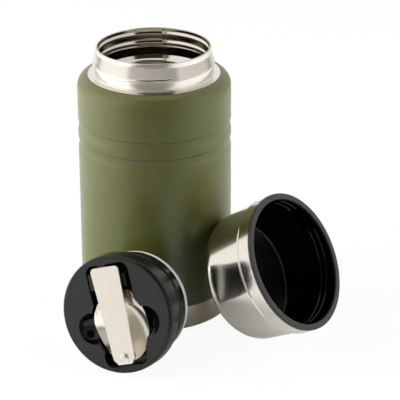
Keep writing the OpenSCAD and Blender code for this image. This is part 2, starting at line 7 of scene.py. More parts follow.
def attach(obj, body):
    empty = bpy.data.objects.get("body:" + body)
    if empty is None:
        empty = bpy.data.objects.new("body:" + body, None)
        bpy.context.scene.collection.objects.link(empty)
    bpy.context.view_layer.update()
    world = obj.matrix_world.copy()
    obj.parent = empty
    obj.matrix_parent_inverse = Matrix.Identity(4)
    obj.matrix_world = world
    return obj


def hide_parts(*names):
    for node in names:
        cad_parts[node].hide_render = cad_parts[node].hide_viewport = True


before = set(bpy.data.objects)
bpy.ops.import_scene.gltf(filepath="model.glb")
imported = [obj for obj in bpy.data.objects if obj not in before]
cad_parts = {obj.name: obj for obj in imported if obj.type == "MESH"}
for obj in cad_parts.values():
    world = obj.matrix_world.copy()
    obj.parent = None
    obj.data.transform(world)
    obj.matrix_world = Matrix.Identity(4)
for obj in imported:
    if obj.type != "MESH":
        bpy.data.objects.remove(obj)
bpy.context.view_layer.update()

# ---------------------------------------------------------------------------
# Outer shell of the jar
# One drawn wall of 18/8 stainless steel: round shoulder, bare neck with a
# bulge that guides the cup, and two rolled grooves. Army-green powder coat
# from the shoulder down; the neck is left bare and lathe-polished.
# ---------------------------------------------------------------------------

MM = 0.001


def srgb(hex_colour, alpha=1.0):
    """Linear colour of an sRGB hex value."""
    out = []
    for i in (1, 3, 5):
        c = int(hex_colour[i:i + 2], 16) / 255
        out.append(c / 12.92 if c <= 0.04045 else ((c + 0.055) / 1.055) ** 2.4)
    return (*out, alpha)


def add_node(mat, kind, settings=None, links=None):
    """Adds a node: settings are attributes (by name) or inputs (by number or socket name), links go
    from other nodes' sockets to this node's inputs."""
    node = mat.node_tree.nodes.new(kind)
    for key, value in (settings or {}).items():
        if isinstance(key, str) and hasattr(node, key):
            setattr(node, key, value)
        else:
            node.inputs[key].default_value = value
    for key, source in (links or {}).items():
        mat.node_tree.links.new(source, node.inputs[key])
    return node


def new_material(name):
    mat = bpy.data.materials.new(name)
    mat.use_nodes = True
    mat.node_tree.nodes.clear()
    return mat


def surface(mat, shader):
    add_node(mat, "ShaderNodeOutputMaterial", {}, {"Surface": shader.outputs[0]})
    return mat


def rounded_line(points, per_turn=40):
    """Points (r, z, fillet radius) joined by straight lines, each corner rounded by its radius."""
    out = []
    n = len(points)
    for i, p in enumerate(points):
        rad = p[2] if len(p) > 2 else 0
        if rad <= 0 or i in (0, n - 1):
            out.append((p[0], p[1]))
            continue
        here = Vector(p[:2])
        a = Vector(points[i - 1][:2]) - here
        b = Vector(points[i + 1][:2]) - here
        la, lb = a.length, b.length
        a.normalize()
        b.normalize()
        half = a.angle(b) / 2
        reach = min(rad / math.tan(half), 0.49 * la, 0.49 * lb)
        rad = reach * math.tan(half)
        mid = here + (a + b).normalized() * (rad / math.sin(half))
        start = here + a * reach - mid
        sweep = math.pi - 2 * half
        side = 1 if start.cross(here + b * reach - mid) > 0 else -1
        steps = max(2, int(sweep / (2 * math.pi) * per_turn) + 1)
        for k in range(steps + 1):
            t = side * sweep * k / steps
            out.append((mid.x + start.x * math.cos(t) - start.y * math.sin(t),
                        mid.y + start.x * math.sin(t) + start.y * math.cos(t)))
    return out


def lathe(name, profile, closed=False, steps=192, place=None, sharp_deg=40):
    """Spins a line of (r, z) in millimetres round Z into a closed piece, with a UV map that runs
    round it, and places it."""
    bm = bmesh.new()
    verts = [bm.verts.new((max(r, 0) * MM, 0, z * MM)) for r, z in profile]
    edges = [bm.edges.new(pair) for pair in zip(verts, verts[1:])]
    if closed:
        edges.append(bm.edges.new((verts[-1], verts[0])))
    bmesh.ops.spin(bm, geom=verts + edges, cent=(0, 0, 0), axis=(0, 0, 1), dvec=(0, 0, 0),
                   angle=2 * math.pi, steps=steps, use_merge=True, use_duplicate=False)
    bmesh.ops.remove_doubles(bm, verts=bm.verts, dist=2e-6)
    bmesh.ops.recalc_face_normals(bm, faces=bm.faces)
    return piece_from(name, bm, place, sharp_deg, round_uv=True)


def piece_from(name, bm, place=None, sharp_deg=40, round_uv=False):
    """Makes a bmesh a smooth-shaded object whose place is in its mesh."""
    if round_uv:
        uv = bm.loops.layers.uv.new("round")
        for face in bm.faces:
            base = math.atan2(face.calc_center_median().y, face.calc_center_median().x)
            for loop in face.loops:
                x, y, z = loop.vert.co
                turn = math.atan2(y, x) if x * x + y * y > 1e-10 else base
                if turn - base > math.pi:
                    turn -= 2 * math.pi
                elif base - turn > math.pi:
                    turn += 2 * math.pi
                loop[uv].uv = (turn / (2 * math.pi), z - math.hypot(x, y))
    if place is not None:
        bmesh.ops.transform(bm, matrix=place, verts=bm.verts)
    mesh = bpy.data.meshes.new(name)
    bm.to_mesh(mesh)
    bm.free()
    for poly in mesh.polygons:
        poly.use_smooth = True
    mesh.set_sharp_from_angle(angle=math.radians(sharp_deg))
    obj = bpy.data.objects.new(name, mesh)
    bpy.context.collection.objects.link(obj)
    return obj


def polished_steel(name, colour, rough, brush, place=None, streak_mm=0.25, depth=0.02,
                   anisotropy=0.6, weld_x=None):
    """Stainless steel turned on a lathe: fine scratches run round the axis, so reflections spread
    along it. A tube's butt weld may run down its back at weld_x."""
    mat = new_material(name)
    coords = add_node(mat, "ShaderNodeTexCoord")
    loc, rot = ((place.to_translation(), place.to_euler()) if place is not None
                else ((0, 0, 0), (0, 0, 0)))
    local = add_node(mat, "ShaderNodeMapping", {"vector_type": "TEXTURE", 1: loc, 2: rot},
                     {0: coords.outputs["Object"]})
    parts = add_node(mat, "ShaderNodeSeparateXYZ", {}, {0: local.outputs[0]})
    flat = add_node(mat, "ShaderNodeCombineXYZ", {}, {0: parts.outputs[0], 1: parts.outputs[1]})
    radius = add_node(mat, "ShaderNodeVectorMath", {"operation": "LENGTH"}, {0: flat.outputs[0]})
    along = add_node(mat, "ShaderNodeMath", {"operation": "SUBTRACT"},
                     {0: parts.outputs[2], 1: radius.outputs["Value"]})
    fine = add_node(mat, "ShaderNodeMath", {"operation": "MULTIPLY", 1: 1 / (streak_mm * MM)},
                    {0: along.outputs[0]})
    slow = add_node(mat, "ShaderNodeVectorMath",
                    {"operation": "SCALE", "Scale": 1 / (streak_mm * MM * 60)},
                    {0: flat.outputs[0]})
    slow_parts = add_node(mat, "ShaderNodeSeparateXYZ", {}, {0: slow.outputs[0]})
    lines = add_node(mat, "ShaderNodeCombineXYZ", {},
                     {0: slow_parts.outputs[0], 1: slow_parts.outputs[1], 2: fine.outputs[0]})
    scratch = add_node(mat, "ShaderNodeTexNoise", {"Scale": 1.0, "Detail": 3.0, "Roughness": 0.65},
                       {"Vector": lines.outputs[0]})
    cloud = add_node(mat, "ShaderNodeTexNoise", {"Scale": 60.0, "Detail": 2.0},
                     {"Vector": local.outputs[0]})
    mix = add_node(mat, "ShaderNodeMath", {"operation": "MULTIPLY_ADD", 1: 0.6, 2: 0.0},
                   {0: scratch.outputs["Fac"]})
    both = add_node(mat, "ShaderNodeMath", {"operation": "MULTIPLY_ADD", 1: 0.4},
                    {0: cloud.outputs["Fac"], 2: mix.outputs[0]})
    roughness = add_node(mat, "ShaderNodeMapRange",
                         {1: 0.3, 2: 0.7, 3: rough - brush, 4: rough + brush}, {0: both.outputs[0]})
    bump = add_node(mat, "ShaderNodeBump", {"Strength": 0.35, "Distance": depth * MM},
                    {"Height": scratch.outputs["Fac"]})
    if weld_x is not None:
        aside = add_node(mat, "ShaderNodeMath", {"operation": "SUBTRACT", 1: weld_x * MM},
                         {0: parts.outputs[0]})
        apart = add_node(mat, "ShaderNodeMath", {"operation": "ABSOLUTE"}, {0: aside.outputs[0]})
        near = add_node(mat, "ShaderNodeMapRange",
                        {"interpolation_type": "SMOOTHSTEP", 1: 0.3 * MM, 2: 1.1 * MM, 3: 1.0,
                         4: 0.0}, {0: apart.outputs[0]})
        behind = add_node(mat, "ShaderNodeMath", {"operation": "GREATER_THAN", 1: 0.0},
                          {0: parts.outputs[1]})
        seam = add_node(mat, "ShaderNodeMath", {"operation": "MULTIPLY"},
                        {0: near.outputs[0], 1: behind.outputs[0]})
        bump = add_node(mat, "ShaderNodeBump", {"Strength": 1.0, "Distance": 0.45 * MM},
                        {"Height": seam.outputs[0], "Normal": bump.outputs[0]})
    tangent = add_node(mat, "ShaderNodeTangent", {"direction_type": "UV_MAP", "uv_map": "round"})
    metal = add_node(mat, "ShaderNodeBsdfPrincipled",
                     {"Base Color": srgb(colour), "Metallic": 1.0, "Anisotropic": anisotropy,
                      "Anisotropic Rotation": 0.25},
                     {"Roughness": roughness.outputs[0], "Normal": bump.outputs[0],
                      "Tangent": tangent.outputs[0]})
    return surface(mat, metal)


RIM_Z = 181.8
LEDGE_Z = 163.45
BODY_R = 50.0
SHELL_T = 0.6
BAND_Z = 16.7
PAINT_EDGE_R = 43.2
SHOULDER_R, SHOULDER_Z = 8.0, 155.45
NECK_LOW_R, BULGE_R, NECK_TOP_R = 38.6, 39.8, 37.36
NECK_ROWS_Z = (167.4, 179.1)
NECK_ROW = 0.15
NECK_ROW_COUNT = int((NECK_ROWS_Z[1] - NECK_ROWS_Z[0]) / NECK_ROW) + 1
NECK_STARTS_DEG, NECK_THREAD_DEG, NECK_FADE_DEG = (-145, 35), 256, 12
NECK_THREAD_Z, NECK_CLIMB = 169.2, 4.2
NECK_SLOPE_Z, NECK_SLOPE_H, NECK_SLOPE_WANDER = 174.9, 8.0, 0.9
GROOVE_TOPS_Z = (133.2, 121.5)
GROOVE_DEPTH = 0.62


def shell_line(inset):
    line = [(BODY_R - inset, BAND_Z)]
    for z in reversed(GROOVE_TOPS_Z):
        line += [(BODY_R - inset, z - 7.3, 2.5), (BODY_R - inset - GROOVE_DEPTH, z - 4.3, 2.5),
                 (BODY_R - inset - GROOVE_DEPTH, z - 0.5, 0.5), (BODY_R - inset, z + 0.3, 0.8)]
    line += [(BODY_R - inset, 155.6)]
    for k in range(25):
        a = math.radians(90 * k / 24)
        line.append((BODY_R - SHOULDER_R + (SHOULDER_R - inset) * math.cos(a),
                     SHOULDER_Z + (SHOULDER_R - inset) * math.sin(a)))
    line += [(39.1 - inset, LEDGE_Z - inset, 0.6), (38.65 - inset, 164.6, 0.6),
             (NECK_LOW_R - inset, NECK_ROWS_Z[0])]
    line += [(NECK_LOW_R - inset, NECK_ROWS_Z[0] + k * NECK_ROW) for k in range(1, NECK_ROW_COUNT)]
    line += [(NECK_TOP_R - inset, NECK_ROWS_Z[1] + 0.2), (NECK_TOP_R - inset, RIM_Z - 1.2)]
    return rounded_line(line)


def smooth(x, low, high):
    t = min(max((x - low) / (high - low), 0), 1)
    return t * t * (3 - 2 * t)


def neck_radius(turn, z):
    """Radius of the neck where the cup's two-start thread is rolled: each start is a lower edge
    that climbs for 256 degrees and fades out at its ends. Above it the bulge slopes in to the rim's
    wall, a little lower at the right."""
    rise, dips = 0, 0
    for first in NECK_STARTS_DEG:
        along = (turn - first) % 360
        fade_out = smooth(along, NECK_THREAD_DEG - NECK_FADE_DEG, NECK_THREAD_DEG)
        here = smooth(along, 0, NECK_FADE_DEG) * (1 - fade_out)
        edge = NECK_THREAD_Z + along * NECK_CLIMB / 360
        rise = max(rise, here * smooth(z, edge - 0.3, edge + 0.25))
        dips = max(dips, here * math.exp(-((z - edge) / 0.3) ** 2))
    slope_z = NECK_SLOPE_Z - NECK_SLOPE_WANDER * math.cos(math.radians(turn))
    bulge = NECK_LOW_R + (BULGE_R - NECK_LOW_R) * rise - 0.35 * dips
    up_slope = min(max((z - slope_z + NECK_SLOPE_H / 2) / NECK_SLOPE_H, 0), 1)
    return bulge + (NECK_TOP_R - bulge) * up_slope


outer = shell_line(0)
inner = shell_line(SHELL_T)
shell = lathe("painted_shell", outer + list(reversed(inner)), closed=True, steps=256, sharp_deg=50)
for vert in shell.data.vertices:
    x, y, z = vert.co / MM
    if NECK_ROWS_Z[0] - 0.01 < z < NECK_ROWS_Z[1] + 0.01:
        inset = SHELL_T if math.hypot(x, y) < NECK_LOW_R - 0.1 else 0
        grow = (neck_radius(math.degrees(math.atan2(y, x)), z) - inset) / math.hypot(x, y)
        vert.co.x, vert.co.y = vert.co.x * grow, vert.co.y * grow

# powder coat: polyester paint baked on as powder, satin, with a fine orange peel
# of about a millimetre and a tint that changes a little from place to place
coat = new_material("powder_coat_army_green")
coat_coords = add_node(coat, "ShaderNodeTexCoord")
peel = add_node(coat, "ShaderNodeTexNoise",
                {"Scale": 1 / (1.1 * MM), "Detail": 2.0, "Roughness": 0.6},
                {"Vector": coat_coords.outputs["Object"]})
tint = add_node(coat, "ShaderNodeTexNoise", {"Scale": 1 / (14 * MM), "Detail": 4.0},
                {"Vector": coat_coords.outputs["Object"]})
tint_mix = add_node(coat, "ShaderNodeMix", {"data_type": "RGBA"}, {"Factor": tint.outputs["Fac"]})
tint_mix.inputs[6].default_value = srgb("#525527")
tint_mix.inputs[7].default_value = srgb("#575A2C")
coat_rough = add_node(coat, "ShaderNodeMapRange", {1: 0.3, 2: 0.7, 3: 0.36, 4: 0.44},
                      {0: peel.outputs["Fac"]})
coat_bump = add_node(coat, "ShaderNodeBump", {"Strength": 0.35, "Distance": 0.05 * MM},
                     {"Height": peel.outputs["Fac"]})
coat_shader = add_node(coat, "ShaderNodeBsdfPrincipled",
                       {"Specular IOR Level": 0.5, "Coat Weight": 0.2, "Coat Roughness": 0.25},
                       {"Base Color": tint_mix.outputs[2], "Roughness": coat_rough.outputs[0],
                        "Normal": coat_bump.outputs[0]})
surface(coat, coat_shader)
neck_steel = polished_steel("neck_lathe_polished_steel", "#E3DED2", 0.17, 0.06, streak_mm=0.35,
                            depth=0.03)
shell.data.materials.append(coat)
shell.data.materials.append(neck_steel)
for poly in shell.data.polygons:
    x, y, z = poly.center
    if z > 160 * MM and math.hypot(x, y) < PAINT_EDGE_R * MM:
        poly.material_index = 1
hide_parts("outer_shell")
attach(shell, "jar")

# ---------------------------------------------------------------------------
# Base cup
# The lower end of the outer wall: a drawn steel cup welded to the shell and
# left bare, brushed round, with a rolled edge and a pressed ring in its foot.
# ---------------------------------------------------------------------------

base_line = rounded_line([(0, 0), (30.9, 0, 0.6), (32.2, 1.3, 0.8), (36.6, 1.3, 0.8),
                          (37.9, 0, 0.6), (49.9, 0, 3.1), (49.9, BAND_Z - 0.05, 0.2),
                          (49.3, BAND_Z - 0.05), (49.3, BAND_Z + 4.9), (48.9, BAND_Z + 4.9),
                          (48.9, 3.7, 2.6), (45.9, 0.6), (38.2, 0.6), (36.9, 1.9), (31.9, 1.9),
                          (30.6, 0.6), (0, 0.6)])
base = lathe("bare_base_cup", base_line, steps=256)
base_steel = polished_steel("base_brushed_steel", "#B8AE9E", 0.32, 0.08, streak_mm=0.4, depth=0.04)
base.data.materials.append(base_steel)
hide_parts("base_cup")
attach(base, "jar")

# ---------------------------------------------------------------------------
# Inner vessel
# The wall that holds the food: stainless tube with a rolled rim, two thread
# ridges rolled inwards, a seat for the stopper's gasket and a butt weld that
# runs down the back. Electropolished, so it mirrors.
# ---------------------------------------------------------------------------

MOUTH_R, RIDGE_H, RIDGE_HALF = 36.2, 0.95, 1.95
RIDGES_Z = (177.6, 171.5)
ROLL_MID_R, ROLL_R = 36.78, 0.58
vessel_line = [(MOUTH_R, RIM_Z - 0.7)]
for ridge_z in RIDGES_Z:
    for k in range(25):
        z = ridge_z + RIDGE_HALF * (1 - k / 12)
        swell = 0.5 + 0.5 * math.cos(math.pi * (z - ridge_z) / RIDGE_HALF)
        vessel_line.append((MOUTH_R - RIDGE_H * swell, z))
vessel_line += [(MOUTH_R, 169.4, 0.4), (35.95, 168.9, 0.3), (MOUTH_R, 168.3, 0.5),
                (MOUTH_R, 162.3, 1.4), (32.95, 160.0, 1.8), (32.95, 158.6, 1.6), (35.6, 155.6, 2.5),
                (41.3, 152.4, 4.0), (44.5, 147.5, 4.0), (44.5, 25.1)]
vessel_back = [(44.98, 25.1), (44.98, 147.7, 4.0), (41.7, 153.1, 4.0), (36.0, 156.3, 2.0),
               (33.5, 158.8, 1.4), (33.5, 160.1, 1.4), (36.7, 163.4, 1.4), (36.7, RIM_Z - 1.2),
               (37.36, RIM_Z - 1.2), (37.36, RIM_Z - 0.58)]
rim_round = [(ROLL_MID_R + ROLL_R * math.cos(math.radians(a)),
              RIM_Z - ROLL_R + ROLL_R * math.sin(math.radians(a))) for a in range(10, 180, 15)]
vessel = lathe("inner_vessel_wall", rounded_line(vessel_line + vessel_back) + rim_round,
               closed=True, steps=256, sharp_deg=35)
vessel_steel = polished_steel("vessel_electropolished_steel", "#D9D3C6", 0.13, 0.03, streak_mm=0.5,
                              depth=0.02, anisotropy=0.3, weld_x=6.3)
vessel.data.materials.append(vessel_steel)
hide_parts("inner_vessel")
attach(vessel, "jar")

floor_line = rounded_line([(0, 16), (44.5, 16, 8.5), (44.5, 25), (44.98, 25), (44.98, 15.5, 9.0),
                           (0, 15.5)])
vessel_floor = lathe("inner_vessel_floor", floor_line, steps=192)
vessel_floor.data.materials.append(vessel_steel)
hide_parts("inner_bottom")
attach(vessel_floor, "jar")

# ---------------------------------------------------------------------------
# Vacuum parts between the walls
# Vacuum bottom, its glass seal bead, getter pellet and clip, and the foil wrap:
# sealed in, never seen, kept as they are in the construction model.
# ---------------------------------------------------------------------------

def dress(name, mat):
    """Gives its material to a construction piece whose form stays as it is."""
    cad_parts[name].data.materials.clear()
    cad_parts[name].data.materials.append(mat)


hidden_steel = polished_steel("vacuum_bottom_steel", "#A9A69F", 0.35, 0.05)
for name in ("vacuum_bottom", "getter_clip"):
    dress(name, hidden_steel)

foil = new_material("heat_shield_foil")
foil_coords = add_node(foil, "ShaderNodeTexCoord")
foil_crumple = add_node(foil, "ShaderNodeTexNoise", {"Scale": 1 / (6 * MM), "Detail": 3.0},
                        {"Vector": foil_coords.outputs["Object"]})
foil_bump = add_node(foil, "ShaderNodeBump", {"Strength": 0.5, "Distance": 0.1 * MM},
                     {"Height": foil_crumple.outputs["Fac"]})
surface(foil,
        add_node(foil, "ShaderNodeBsdfPrincipled",
                 {"Base Color": srgb("#C98F6B"), "Metallic": 1.0, "Roughness": 0.25},
                 {"Normal": foil_bump.outputs[0]}))
dress("foil_wrap", foil)

bead_glass = new_material("solder_glass")
bead_coords = add_node(bead_glass, "ShaderNodeTexCoord")
bead_cloud = add_node(bead_glass, "ShaderNodeTexNoise", {"Scale": 1 / (1.5 * MM)},
                      {"Vector": bead_coords.outputs["Object"]})
bead_rough = add_node(bead_glass, "ShaderNodeMapRange", {3: 0.08, 4: 0.25},
                      {0: bead_cloud.outputs["Fac"]})
surface(bead_glass,
        add_node(bead_glass, "ShaderNodeBsdfPrincipled",
                 {"Base Color": srgb("#5E7286"), "IOR": 1.52},
                 {"Roughness": bead_rough.outputs[0]}))
dress("vacuum_bead", bead_glass)

sinter = new_material("sintered_getter_metal")
sinter_coords = add_node(sinter, "ShaderNodeTexCoord")
sinter_grain = add_node(sinter, "ShaderNodeTexNoise", {"Scale": 1 / (0.3 * MM), "Detail": 4.0},
                        {"Vector": sinter_coords.outputs["Object"]})
sinter_bump = add_node(sinter, "ShaderNodeBump", {"Strength": 0.8, "Distance": 0.1 * MM},
                       {"Height": sinter_grain.outputs["Fac"]})
surface(sinter,
        add_node(sinter, "ShaderNodeBsdfPrincipled",
                 {"Base Color": srgb("#4A4A4C"), "Metallic": 0.7, "Roughness": 0.7},
                 {"Normal": sinter_bump.outputs[0]}))
dress("getter", sinter)

# ---------------------------------------------------------------------------
# Stopper head
# Injection-moulded polypropylene, dark grey with a spark-eroded matt face, and
# glossy where the core of the mould was polished: recess, scoops and clips. The
# outer strip of the left clip's top is gloss black as painted shade of the gap
# beside it.
# ---------------------------------------------------------------------------

HEAD_R, HEAD_H = 38.15, 10.4
GASKET_R, GASKET_DROP, GASKET_H, GASKET_EDGE = 33.75, 29.4, 4.9, 1.0
THREAD_R, BEAD_R = 34.3, 35.1
STOPPER_OUT, STOPPER_LEFT_DEG = 105.1, 12.7
STOPPER_FACES_DEG, SPOON_TURN_DEG = -24.1, 18.3
lean_a = HEAD_R - GASKET_R + GASKET_EDGE
lean_b = GASKET_DROP + GASKET_H - GASKET_EDGE - HEAD_H
stopper_lean = math.acos(GASKET_EDGE / math.hypot(lean_a, lean_b)) - math.atan2(lean_b, lean_a)
stopper_at = (-STOPPER_OUT * math.sin(math.radians(STOPPER_LEFT_DEG)),
              -STOPPER_OUT * math.cos(math.radians(STOPPER_LEFT_DEG)),
              HEAD_R * math.cos(stopper_lean) + HEAD_H * math.sin(stopper_lean))
stopper_place = (Matrix.Translation(Vector(stopper_at) * MM)
                 @ Matrix.Rotation(math.radians(STOPPER_FACES_DEG), 4, "Z")
                 @ Matrix.Rotation(math.pi / 2 - stopper_lean, 4, "X")
                 @ Matrix.Rotation(math.radians(SPOON_TURN_DEG), 4, "Z"))


def moulded_plastic(name, colour, rough, grain_mm, grain_depth, spec=0.5):
    mat = new_material(name)
    coords = add_node(mat, "ShaderNodeTexCoord")
    grain = add_node(mat, "ShaderNodeTexNoise", {"Scale": 1 / (grain_mm * MM), "Detail": 2.0},
                     {"Vector": coords.outputs["Object"]})
    flow = add_node(mat, "ShaderNodeTexNoise", {"Scale": 1 / (12 * MM), "Detail": 3.0},
                    {"Vector": coords.outputs["Object"]})
    roughness = add_node(mat, "ShaderNodeMapRange",
                         {1: 0.3, 2: 0.7, 3: rough * 0.92, 4: rough * 1.08},
                         {0: flow.outputs["Fac"]})
    bump = add_node(mat, "ShaderNodeBump", {"Strength": 0.5, "Distance": grain_depth * MM},
                    {"Height": grain.outputs["Fac"]})
    plastic = add_node(mat, "ShaderNodeBsdfPrincipled",
                       {"Base Color": srgb(colour), "Specular IOR Level": spec},
                       {"Roughness": roughness.outputs[0], "Normal": bump.outputs[0]})
    return surface(mat, plastic)


def weigh_normals(mesh, least_cosine):
    """Turns each corner's normal to the mean of the faces round it by their areas, so that flat
    faces stay flat beside rounded edges."""
    faces_at = [[] for _ in mesh.vertices]
    for poly in mesh.polygons:
        for v in poly.vertices:
            faces_at[v].append(poly)
    normals = []
    for poly in mesh.polygons:
        here = poly.normal
        for v in poly.vertices:
            mean = Vector((0, 0, 0))
            for other in faces_at[v]:
                if other.normal.dot(here) > least_cosine:
                    mean += other.normal * other.area
            normals.append(mean.normalized())
    mesh.normals_split_custom_set(normals)


def softened(name, node, edge_mm, edge_deg=28, sharp_deg=35, split_for_shade=None):
    """Copy of a construction piece, merged, with its edges rounded; coplanar triangles are joined
    first so that the rounding runs along the real edges. Faces that the given test picks are split
    along the plane across the left clip, so that its outer strip can take the dark gloss as painted
    shade."""
    bm = bmesh.new()
    bm.from_mesh(node.data)
    bmesh.ops.transform(bm, matrix=node.matrix_world, verts=bm.verts)
    bmesh.ops.remove_doubles(bm, verts=bm.verts, dist=1e-5)
    bmesh.ops.dissolve_limit(bm, angle_limit=math.radians(0.6), verts=bm.verts, edges=bm.edges)
    if split_for_shade is not None:
        faces = [f for f in bm.faces if split_for_shade(f.calc_center_median())]
        near = (faces + list({e for f in faces for e in f.edges})
                + list({v for f in faces for v in f.verts}))
        bmesh.ops.bisect_plane(bm, geom=near, dist=1e-6, plane_co=TAB_SHADE_PLANE,
                               plane_no=stopper_across)
    hard = [e for e in bm.edges
            if len(e.link_faces) == 2 and e.calc_face_angle() > math.radians(edge_deg)]
    bmesh.ops.bevel(bm, geom=hard, offset=edge_mm * MM, affect="EDGES", segments=2, profile=0.5,
                    material=-1, clamp_overlap=True)
    bmesh.ops.remove_doubles(bm, verts=bm.verts, dist=1e-6)
    bmesh.ops.recalc_face_normals(bm, faces=bm.faces)
    piece = piece_from(name, bm, sharp_deg=sharp_deg)
    weigh_normals(piece.data, math.cos(math.radians(sharp_deg)))
    return piece


head_matt = moulded_plastic("polypropylene_matt_charcoal", "#1D1D1B", 0.45, 0.5, 0.02, spec=0.4)
head_gloss = moulded_plastic("polypropylene_gloss_black", "#0A0A0A", 0.14, 2.0, 0.004, spec=0.35)
head_satin = moulded_plastic("polypropylene_satin_black", "#10100F", 0.26, 0.8, 0.01, spec=0.35)
to_stopper = stopper_place.inverted()
stopper_across = stopper_place.to_3x3() @ Vector((1, 0, 0))
# the left clip's top is split here; its outer strip takes the gloss black as painted shade of the
# gap beside the face
TAB_SHADE_X = -14.1
TAB_SHADE_PLANE = stopper_place @ (Vector((TAB_SHADE_X, 22, 0)) * MM)
RECESS_REACH, FACE_EDGE_R = 34.2, 35.75


def on_left_tab(point):
    x, y, w = (to_stopper @ point) / MM
    return -16.5 < x < -10 and 16.8 < y < 27.5 and -1.1 < w < -0.7


head = softened("stopper_head_moulding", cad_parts["stopper_head"], 0.3, split_for_shade=on_left_tab)
head.data.materials.append(head_matt)
head.data.materials.append(head_gloss)
head.data.materials.append(head_satin)
for poly in head.data.polygons:
    x, y, w = (to_stopper @ poly.center) / MM
    tab = 16.6 < y < 27.6 and (x < -10.2 or 8.8 < x < 12) and w > -5
    notch = y < -33 and abs(x) < 10.5 and -1.6 < w < -0.2
    # painted shade: the outer strip of the left clip's top gets the darker gloss black to stand for
    # the shaded gap beside the face
    painted_gap_shade = on_left_tab(poly.center) and x < TAB_SHADE_X
    if notch or painted_gap_shade or (w < -0.4 and math.hypot(x, y) < RECESS_REACH and w > -14
                               and not tab):
        poly.material_index = 1
    elif math.hypot(x, y) > FACE_EDGE_R and w < -0.02:
        poly.material_index = 2
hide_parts("stopper_head")
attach(head, "stopper")

# ---------------------------------------------------------------------------
# Stopper body, gasket and foam
# Glossy black moulding with a two-turn thread, closed below, filled with foam,
# and a white silicone ring in the groove at its lower end.
# ---------------------------------------------------------------------------

body_line = rounded_line([(29.5, -HEAD_H), (THREAD_R, -HEAD_H), (THREAD_R, -14.7, 0.3),
                          (BEAD_R, -15.5, 0.4), (BEAD_R, -16.5, 0.4), (THREAD_R, -17.3, 0.3),
                          (THREAD_R, -20.8, 0.3), (BEAD_R, -21.6, 0.4), (BEAD_R, -22.6, 0.4),
                          (THREAD_R, -23.4, 0.3), (THREAD_R, -GASKET_DROP, 0.3),
                          (31.3, -GASKET_DROP), (31.3, -34.3), (32.75, -34.3), (32.75, -35.7, 0.8),
                          (0, -35.7), (0, -33.9), (29.5, -33.9)])
body = lathe("stopper_thread_body", body_line, closed=True, place=stopper_place, sharp_deg=35)
body.data.materials.append(head_gloss)
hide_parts("stopper_body")
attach(body, "stopper")

gasket_line = rounded_line([(31.35, -29.45), (GASKET_R, -29.45, GASKET_EDGE),
                            (GASKET_R, -34.25, GASKET_EDGE), (31.35, -34.25)])
gasket = lathe("silicone_gasket", gasket_line, closed=True, place=stopper_place)
silicone = new_material("silicone_rubber_white")
silicone_coords = add_node(silicone, "ShaderNodeTexCoord")
silicone_cloud = add_node(silicone, "ShaderNodeTexNoise", {"Scale": 1 / (3 * MM), "Detail": 2.0},
                          {"Vector": silicone_coords.outputs["Object"]})
silicone_rough = add_node(silicone, "ShaderNodeMapRange", {3: 0.4, 4: 0.55},
                          {0: silicone_cloud.outputs["Fac"]})
surface(silicone,
        add_node(silicone, "ShaderNodeBsdfPrincipled",
                 {"Base Color": srgb("#E4E9E9"), "Subsurface Weight": 0.15,
                  "Subsurface Scale": 0.001, "IOR": 1.41},
                 {"Roughness": silicone_rough.outputs[0]}))
gasket.data.materials.append(silicone)
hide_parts("stopper_gasket")
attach(gasket, "stopper")

foam = new_material("polyurethane_foam")
foam_coords = add_node(foam, "ShaderNodeTexCoord")
foam_cells = add_node(foam, "ShaderNodeTexVoronoi", {"Scale": 1 / (0.8 * MM)},
                      {"Vector": foam_coords.outputs["Object"]})
foam_bump = add_node(foam, "ShaderNodeBump", {"Strength": 0.6, "Distance": 0.3 * MM},
                     {"Height": foam_cells.outputs["Distance"]})
surface(foam,
        add_node(foam, "ShaderNodeBsdfPrincipled",
                 {"Base Color": srgb("#E8E0C8"), "Roughness": 0.9},
                 {"Normal": foam_bump.outputs[0]}))
for name in ("stopper_foam", "cup_foam"):
    dress(name, foam)

# ---------------------------------------------------------------------------
# Folding spoon
# Pressed stainless sheet, tumbled to a satin finish: bowl with a flat neck,
# link and handle, riveted so that they fold over each other like a Z.
# ---------------------------------------------------------------------------

def tumbled_steel(name, colour, rough):
    """Stainless sheet tumbled in a drum: a faint grain along the spoon."""
    mat = new_material(name)
    coords = add_node(mat, "ShaderNodeTexCoord")
    local = add_node(mat, "ShaderNodeMapping",
                     {"vector_type": "TEXTURE", 1: stopper_place.to_translation(),
                      2: stopper_place.to_euler()}, {0: coords.outputs["Object"]})
    stretch = add_node(mat, "ShaderNodeMapping",
                       {3: (1 / (0.6 * MM), 1 / (6 * MM), 1 / (0.6 * MM))}, {0: local.outputs[0]})
    grain = add_node(mat, "ShaderNodeTexNoise", {"Scale": 1.0, "Detail": 3.0},
                     {"Vector": stretch.outputs[0]})
    roughness = add_node(mat, "ShaderNodeMapRange",
                         {1: 0.3, 2: 0.7, 3: rough * 0.88, 4: rough * 1.12},
                         {0: grain.outputs["Fac"]})
    bump = add_node(mat, "ShaderNodeBump", {"Strength": 0.2, "Distance": 0.01 * MM},
                    {"Height": grain.outputs["Fac"]})
    return surface(mat,
                   add_node(mat, "ShaderNodeBsdfPrincipled",
                            {"Base Color": srgb(colour), "Metallic": 1.0},
                            {"Roughness": roughness.outputs[0], "Normal": bump.outputs[0]}))


spoon_steel = tumbled_steel("tumbled_spoon_steel", "#E4DDD1", 0.32)
bowl_steel = tumbled_steel("polished_bowl_steel", "#EFE9DE", 0.15)
for name in ("spoon_neck_rivet", "spoon_spacer", "spoon_washer"):
    dress(name, spoon_steel)
for name, body_name, edge in (("spoon_bowl", "spoon", 0.2), ("spoon_link", "link", 0.25),
                              ("spoon_handle", "handle", 0.3)):
    piece = softened(name + "_pressing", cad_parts[name], edge, sharp_deg=30)
    piece.data.materials.append(bowl_steel if name == "spoon_bowl" else spoon_steel)
    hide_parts(name)
    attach(piece, body_name)

